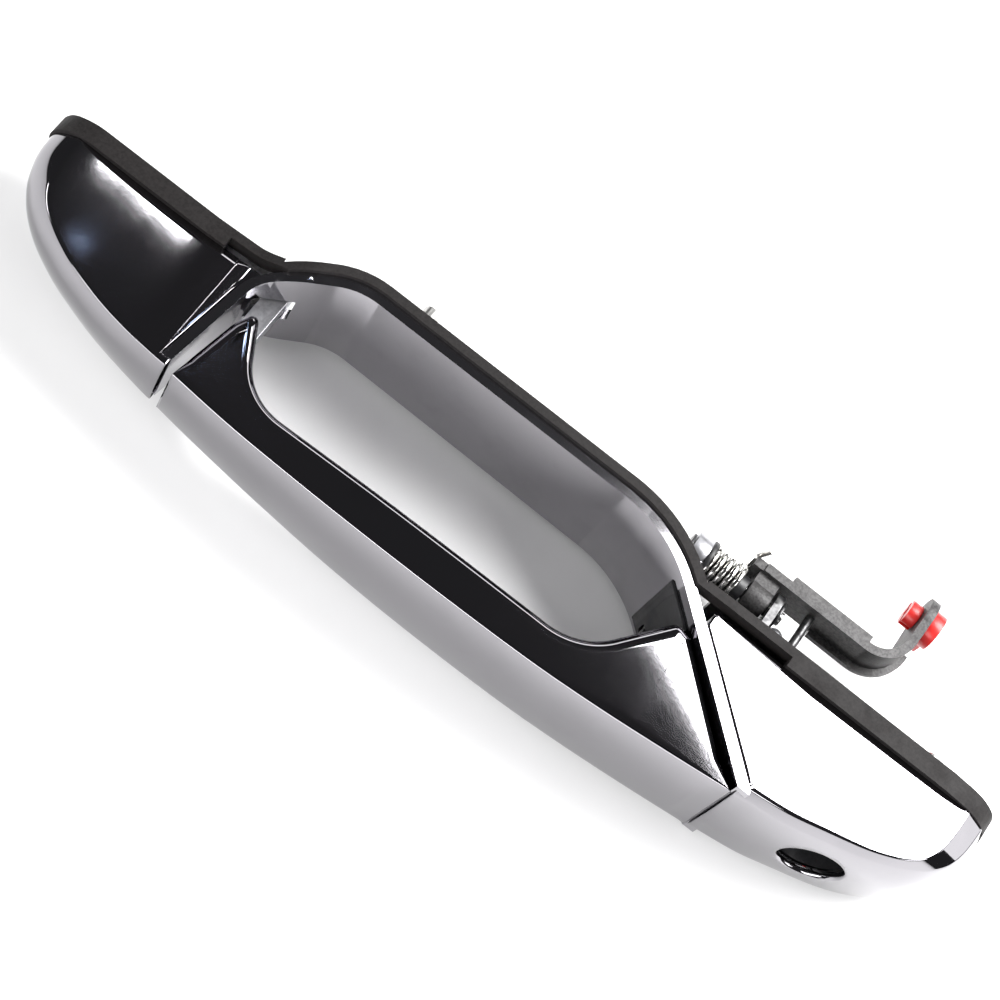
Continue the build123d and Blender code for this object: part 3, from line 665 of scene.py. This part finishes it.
RIGHT_LOWER_HEIGHT, RIGHT_UPPER_HEIGHT = 16.3, 19.7
CORNER_LIP = -39.3        # how far in front of the door the caps cover the rim's ends
LEFT_BOSSES = [(-108.0, 0.0, -36.5, 8.0)]      # x, z, front and size of each screw boss
RIGHT_BOSSES = [(96.0, -9.5, -36.5, 8.0), (138.0, 0.0, -23.0, 8.0)]
SIDE_STEPS = 14
TOP_STEPS = 12


def cap_row(equator, lower, lower_z, upper, upper_z, normal, end_y, height, roll):
    """A cap's section: bottom back edge, round the bulging side, to the top back edge."""
    half = []
    for k in range(SIDE_STEPS + 1):
        z = lower_z * k / SIDE_STEPS
        p = equator.lerp(lower, (z / lower_z) ** 2)
        half.append((p.x, p.y, z))
    creases = {SIDE_STEPS}
    if upper_z - lower_z > 0.5:
        half.append((upper.x, upper.y, upper_z))
        creases.add(SIDE_STEPS + 1)
    inner = upper + normal * 2.5 * roll
    inner.y = min(inner.y, end_y)
    for k in range(TOP_STEPS + 1):
        y = inner.y + (end_y - inner.y) * k / TOP_STEPS
        half.append((inner.x, y, height(inner.x)))
    half = soften(half, creases, roll)
    return [(x, y, -z) for x, y, z in reversed(half[1:])] + half


def boss_tube(points, faces, x, z, front, back, size):
    """Add a screw boss, a round post along Y, to a mesh's points and faces."""
    start = len(points)
    turns = 24
    for y in (front, back):
        for radius in ((size / 2,) if y == front else (size / 2, 1.55)):
            for k in range(turns):
                a = 2 * math.pi * k / turns
                points.append((x + radius * math.cos(a), y, z + radius * math.sin(a)))
    for ring in range(2):
        for k in range(turns):
            n = (k + 1) % turns
            low, high = start + ring * turns, start + (ring + 1) * turns
            faces.append((low + k, low + n, high + n, high + k))


def open_key_hole(piece):
    """Open the round key hole in the right cap's front: drop the faces inside it, fit its edge."""
    work = bmesh.new()
    work.from_mesh(piece.data)
    centre = Vector((LOCK_X, LOCK_Z)) * MM
    radius = LOCK_BORE / 2 * MM
    inside = []
    for face in work.faces:
        middle = face.calc_center_median()
        if middle.y < -20 * MM and (Vector((middle.x, middle.z)) - centre).length < radius:
            inside.append(face)
    edge = {v for f in inside for v in f.verts if any(g not in inside for g in v.link_faces)}
    bmesh.ops.delete(work, geom=inside, context="FACES")
    for vert in edge:
        offset = Vector((vert.co.x, vert.co.z)) - centre
        move = offset.normalized() * radius - offset
        normal = vert.normal
        slide = -(normal.x * move.x + normal.z * move.y) / (normal.y or -1.0)
        vert.co += Vector((move.x, slide, move.y))
    work.to_mesh(piece.data)
    work.free()


def inward_normals(path, sign, start):
    """Normals that point into the cap, turned to +Y at the start so that two grids meet there."""
    normals = path_normals(path)
    test = normals[start + 8]
    if (test.y if sign == 1 and start else test.x * sign) < 0:
        normals = [-n for n in normals]
    out = []
    for k, normal in enumerate(normals):
        share = min(1.0, abs(k - start) / 8)
        out.append(Vector((0, 1)).lerp(normal, share).normalized())
    return out


def cap_mesh(name, crease, lower, equator, heights, seam, lip_y, height, bosses, roll):
    """A cap's outer skin: main columns, the lip over the rim's end and the seam's side wall."""
    lower_z, upper_z = heights
    toward_seam = 1 if seam[0].x > crease[-1].x else -1
    corner = seam[0].x
    at_corner = [k for k, c in enumerate(crease) if (c.x - corner) * toward_seam <= 0.001][0]
    for path in (crease, lower, equator):
        share = (corner - path[at_corner - 1].x) / (path[at_corner].x - path[at_corner - 1].x)
        path[at_corner] = path[at_corner - 1].lerp(path[at_corner], share)
    seam = [crease[at_corner]] + seam[1:]
    normals = inward_normals(crease, 1, at_corner)
    points, faces = [], []

    def grid(rows):
        start = len(points)
        points.extend(p for row in rows for p in row)
        faces.extend(tuple(start + v for v in face) for face in ring_faces(rows, False))

    main, lip = [], []
    for k, (c, l, e, n) in enumerate(zip(crease, lower, equator, normals)):
        args = (e, l, lower_z(c.x), c, upper_z(c.x), n)
        if k >= at_corner:
            main.append(cap_row(*args, CAP_BACK, height, roll))
        if k <= at_corner:
            lip.append(cap_row(*args, max(lip_y, c.y + 2.6 * roll), height, roll))
    grid(lip)
    grid(main)
    side_normals = inward_normals(seam, -toward_seam, 0)
    wall = []
    for c, n in zip(seam, side_normals):
        top = upper_z(c.x)
        wall.append(cap_row(c, c, top, c, top, n, CAP_BACK, height, roll))
    grid(wall)
    for x, z, front, size in bosses:
        boss_tube(points, faces, x, z, front, 0.3, size)
    return mesh_piece(name, points, faces, "housing", "chrome_cap", 42.0)


class HANDLE_OT_spring(HandleOperator, bpy.types.Operator):
    """Return spring, whose far end hooks round behind the bell crank's arm"""
    bl_idname = "door_handle.spring"
    bl_label = "Return spring"

    def execute(self, context):
        self.need("lever_spring")
        low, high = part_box("lever_spring")
        radius = SPRING_MEAN / 2
        start_x = low.x / MM + SPRING_WIRE / 2
        line = [(start_x, PIVOT_Y - radius - 3.0, PIVOT_Z + radius * 0.2),
                (start_x, PIVOT_Y - radius - 1.2, PIVOT_Z + radius * 0.1)]
        steps = 28
        for k in range(int(SPRING_TURNS * steps) + 1):
            a = math.pi + 2 * math.pi * k / steps
            line.append((start_x + SPRING_PITCH * k / steps, PIVOT_Y + radius * math.cos(a),
                         PIVOT_Z - radius * math.sin(a)))
        end_x = line[-1][0]
        line += [(end_x + along, y, PIVOT_Z + rise) for along, y, rise in SPRING_HOOK]
        line.append((end_x + SPRING_HOOK[-1][0] + 0.2, SPRING_HOOK[-1][1], high.z / MM + 1.6))
        curve = bpy.data.curves.new("return_spring", "CURVE")
        curve.dimensions = "3D"
        curve.bevel_depth = SPRING_WIRE / 2 * MM
        curve.bevel_resolution = 5
        curve.use_fill_caps = True
        spline = curve.splines.new("NURBS")
        spline.points.add(len(line) - 1)
        for point, place in zip(spline.points, line):
            point.co = (*(v * MM for v in place), 1.0)
        spline.order_u = 4
        spline.use_endpoint_u = True
        spline.resolution_u = 3
        piece = bpy.data.objects.new("return_spring", curve)
        bpy.context.scene.collection.objects.link(piece)
        curve.materials.append(FINISHES["spring_steel"])
        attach(piece, "housing")
        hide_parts("lever_spring")
        return {"FINISHED"}


class HANDLE_OT_left_cap(HandleOperator, bpy.types.Operator):
    """Left end cap: a tapering chrome shell with a rounded nose"""
    bl_idname = "door_handle.left_cap"
    bl_label = "Left cap"

    def execute(self, context):
        self.need("left_end_cap")
        roll = context.scene.handle_shape.cap_round / MM
        crease = station_path(LEFT_CREASE, 130)

        def height(x):
            return smooth_through(LEFT_HEIGHT, x)
        seam = resample([Vector(p) for p in LEFT_SIDE], 40)
        piece = cap_mesh("left_cap_skin", crease, crease, station_path(LEFT_EQUATOR, 130),
                         (height, height), seam, CORNER_LIP, height, LEFT_BOSSES, roll)
        hollow_out(piece, 2.1, -91.0)
        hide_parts("left_end_cap")
        return {"FINISHED"}


class HANDLE_OT_right_cap(HandleOperator, bpy.types.Operator):
    """Right end cap: bevelled chrome shell with the key hole"""
    bl_idname = "door_handle.right_cap"
    bl_label = "Right cap"

    def execute(self, context):
        self.need("right_end_cap")
        roll = context.scene.handle_shape.cap_round / MM

        def lower_height(_):
            return RIGHT_LOWER_HEIGHT

        def upper_height(_):
            return RIGHT_UPPER_HEIGHT
        seam = resample([Vector(p) for p in RIGHT_SIDE], 60)
        piece = cap_mesh("right_cap_skin", station_path(RIGHT_UPPER, 150), station_path(RIGHT_LOWER, 150),
                         station_path(RIGHT_EQUATOR, 150), (lower_height, upper_height), seam, CORNER_LIP,
                         upper_height, RIGHT_BOSSES, roll)
        open_key_hole(piece)
        hollow_out(piece, 2.1, 91.0)
        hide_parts("right_end_cap")
        return {"FINISHED"}


def area_light(name, place, aim, size, power, tint=(1.0, 1.0, 1.0)):
    """A rectangular softbox, in metres, aimed at a point."""
    data = bpy.data.lights.new(name, "AREA")
    data.shape = "RECTANGLE"
    data.size, data.size_y = size
    data.energy = power
    data.color = tint
    lamp = bpy.data.objects.new(name, data)
    lamp.location = place
    lamp.rotation_mode = "QUATERNION"
    lamp.rotation_quaternion = (Vector(aim) - Vector(place)).to_track_quat("-Z", "Y")
    bpy.context.scene.collection.objects.link(lamp)
    return lamp


def card(name, place, turn, size, power, tint=(1.0, 1.0, 1.0)):
    """A level reflector above the handle, turned about the vertical in degrees."""
    lamp = area_light(name, (*place, CARD_HEIGHT), (*place, 0.0), size, power, tint)
    lamp.rotation_mode = "XYZ"
    lamp.rotation_euler = (0.0, 0.0, math.radians(turn))
    return lamp


class HANDLE_OT_studio(HandleOperator, bpy.types.Operator):
    """Lay the floor, hang the lights and set the camera"""
    bl_idname = "door_handle.studio"
    bl_label = "Studio"

    def execute(self, context):
        settings = context.scene.handle_studio
        floor_z = cad_low.z
        mesh = bpy.data.meshes.new("studio_floor")
        half = FLOOR_HALF
        mesh.from_pydata([(-half, -half, floor_z), (half, -half, floor_z),
                          (half, half, floor_z), (-half, half, floor_z)], [], [(0, 1, 2, 3)])
        floor = bpy.data.objects.new("studio_floor", mesh)
        context.scene.collection.objects.link(floor)
        material, _, shader = new_material("studio_floor", 0.0)
        shader.inputs["Base Color"].default_value = (*settings.floor_tint, 1.0)
        shader.inputs["Roughness"].default_value = 0.9
        mesh.materials.append(material)

        power = settings.light_power
        area_light("front_softbox", (-0.2, -1.4, 0.9), (0, -0.1, 0), (1.8, 0.8), 30 * power)
        area_light("left_fill", (-1.4, -0.2, 0.7), (0, 0, 0), (0.8, 0.6), 11 * power)
        area_light("right_fill", (1.5, -0.5, 0.8), (0, 0, 0), (0.8, 0.6), 10 * power)
        area_light("right_back_fill", (1.3, 0.7, 0.5), (0.1, 0, 0), (1.0, 0.6), 5 * power)
        area_light("back_softbox", (0.0, 1.3, 0.7), (0, 0, 0), (1.8, 0.3), 5 * power)
        card("right_card", (0.405, 0.376), -24.6, (0.52, 0.52), 17 * power)
        card("left_card", (-0.2195, 0.268), 3.0, (0.036, 0.012), 0.045 * power)
        card("blue_card", (-0.2067, 0.223), 6.0, (0.022, 0.005), 0.007 * power, (0.55, 0.70, 1.0))

        world = bpy.data.worlds.new("studio_world")
        world.use_nodes = True
        world.node_tree.nodes["Background"].inputs["Color"].default_value = WORLD_TINT
        context.scene.world = world
        context.scene.view_settings.view_transform = "Standard"

        data = bpy.data.cameras.new("studio_camera")
        data.lens = settings.lens
        data.sensor_width = 36.0
        data.clip_start = 0.05
        camera = bpy.data.objects.new("studio_camera", data)
        camera.location = CAMERA_PLACE
        turn = math.radians(CAMERA_ROLL)
        level, drop = Vector(CAMERA_LEVEL), Vector(CAMERA_DROP)
        right = level * math.cos(turn) - drop * math.sin(turn)
        up = -(level * math.sin(turn) + drop * math.cos(turn))
        back = right.cross(up)
        camera.rotation_mode = "QUATERNION"
        camera.rotation_quaternion = Matrix((right, up, back)).transposed().to_quaternion()
        context.scene.collection.objects.link(camera)
        context.scene.camera = camera
        return {"FINISHED"}


class HANDLE_PT_sidebar(bpy.types.Panel):
    """Lists the handle's settings and pieces"""
    bl_label = "Door Handle"
    bl_idname = "HANDLE_PT_sidebar"
    bl_space_type = "VIEW_3D"
    bl_region_type = "UI"
    bl_category = "Door Handle"

    def draw(self, context):
        layout = self.layout
        for group in (context.scene.handle_finish, context.scene.handle_shape,
                      context.scene.handle_studio):
            for key in group.__annotations__:
                layout.prop(group, key)
        for operator in OPERATORS:
            layout.operator(operator.bl_idname)


OPERATORS = (HANDLE_OT_finishes, HANDLE_OT_fittings, HANDLE_OT_strap, HANDLE_OT_left_cap,
             HANDLE_OT_right_cap, HANDLE_OT_spring, HANDLE_OT_studio)
SETTINGS = {"handle_finish": HandleFinishSettings, "handle_shape": HandleShapeSettings,
            "handle_studio": HandleStudioSettings}


def register():
    for cls in (*SETTINGS.values(), *OPERATORS, HANDLE_PT_sidebar):
        bpy.utils.register_class(cls)
    for name, cls in SETTINGS.items():
        setattr(bpy.types.Scene, name, PointerProperty(type=cls))


def unregister():
    for name in SETTINGS:
        delattr(bpy.types.Scene, name)
    for cls in (HANDLE_PT_sidebar, *reversed(OPERATORS), *SETTINGS.values()):
        bpy.utils.unregister_class(cls)


def main():
    register()
    bpy.ops.door_handle.finishes()
    bpy.ops.door_handle.fittings()
    bpy.ops.door_handle.strap()
    bpy.ops.door_handle.left_cap()
    bpy.ops.door_handle.right_cap()
    bpy.ops.door_handle.spring()
    bpy.ops.door_handle.studio()
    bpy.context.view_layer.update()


if __name__ == "__main__":
    main()
